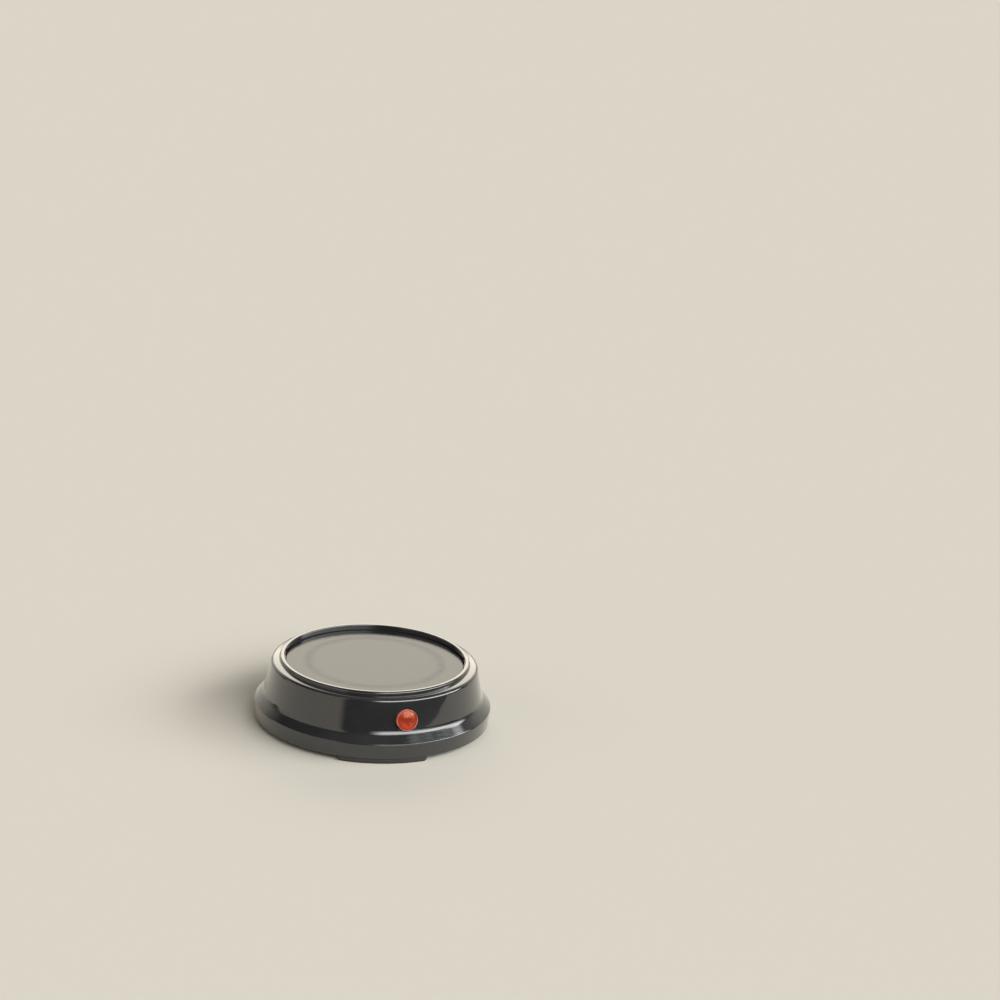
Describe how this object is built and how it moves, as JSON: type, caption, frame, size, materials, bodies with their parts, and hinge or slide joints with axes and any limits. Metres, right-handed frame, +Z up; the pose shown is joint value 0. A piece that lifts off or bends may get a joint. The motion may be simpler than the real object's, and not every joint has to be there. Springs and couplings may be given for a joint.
{
  "type": "electric mug warmer",
  "caption": "Round electric mug warmer: a recessed black hot plate in a glossy flared housing, with a lit red push button, arc feet and a rear cord gland.",
  "frame": {"origin": "on the table under the centre of the warming plate", "axes": "+Z up out of the warming plate, -Y towards the push button, +Y towards the cord gland"},
  "size_m": [0.11, 0.1108, 0.031],
  "materials": {
    "housing_black": "polished black moulding",
    "plate_black": "smooth black nonstick coat on aluminium",
    "seal_silicone": "matt moulded silicone",
    "mica": "pressed mica paper",
    "heater_alloy": "rolled resistance foil",
    "plated_steel": "zinc plated sheet",
    "ceramic_fibre": "soft white fibre felt",
    "shield_aluminium": "mill finish sheet",
    "fastener_steel": "zinc plated",
    "fuse_metal": "bright drawn case",
    "glass_sleeving": "braided glass sleeving",
    "spring_steel": "drawn wire",
    "white_plastic": "satin moulding",
    "switch_black": "satin moulding",
    "terminal_brass": "tinned brass blade",
    "lamp_glass": "clear glass envelope",
    "resistor_body": "lacquered body",
    "lead_white": "silicone insulated wire",
    "lead_black": "silicone insulated wire",
    "splice_nylon": "natural nylon",
    "gland_rubber": "soft black moulding",
    "cover_black": "fine textured black moulding",
    "pad_rubber": "matt black rubber",
    "button_red": "clear red moulding, polished"
  },
  "bodies": {
    "base": {"housing": "housing_black", "warming_plate": "plate_black", "plate_gasket": "seal_silicone", "mica_upper": "mica", "heating_element": "heater_alloy", "mica_lower": "mica", "pressure_plate": "plated_steel", "insulation_disc": "ceramic_fibre", "heat_shield": "shield_aluminium", "clamp_bracket": "plated_steel", "clamp_washer": "fastener_steel", "clamp_nut": "fastener_steel", "thermal_fuse": "fuse_metal", "fuse_sleeve": "glass_sleeving", "fuse_clip": "plated_steel", "clip_rivets": "fastener_steel", "button_spring": "spring_steel", "switch_bracket": "white_plastic", "bracket_screws": "fastener_steel", "switch_body": "switch_black", "switch_terminals": "terminal_brass", "indicator_lamp": "lamp_glass", "lamp_resistor": "resistor_body", "crimp_barrels": "fastener_steel", "lead_element_fuse": "lead_white", "lead_element_switch": "lead_white", "lead_fuse_splice": "lead_white", "lead_switch_splice": "lead_black", "splice_caps": "splice_nylon", "cord_gland": "gland_rubber", "base_cover": "cover_black", "cover_screws": "fastener_steel", "foot_pads": "pad_rubber"},
    "button": {"power_button": "button_red", "button_plunger": "white_plastic"}
  },
  "joints": [
    {"name": "power_button_press", "type": "slide", "parent": "base", "child": "button", "axis": [0, 0.9816, -0.1908], "range_m": [0, 0.0015], "stiffness_N_per_m": 400, "springref_m": -0.003, "deforming": ["button_spring"]}
  ]
}
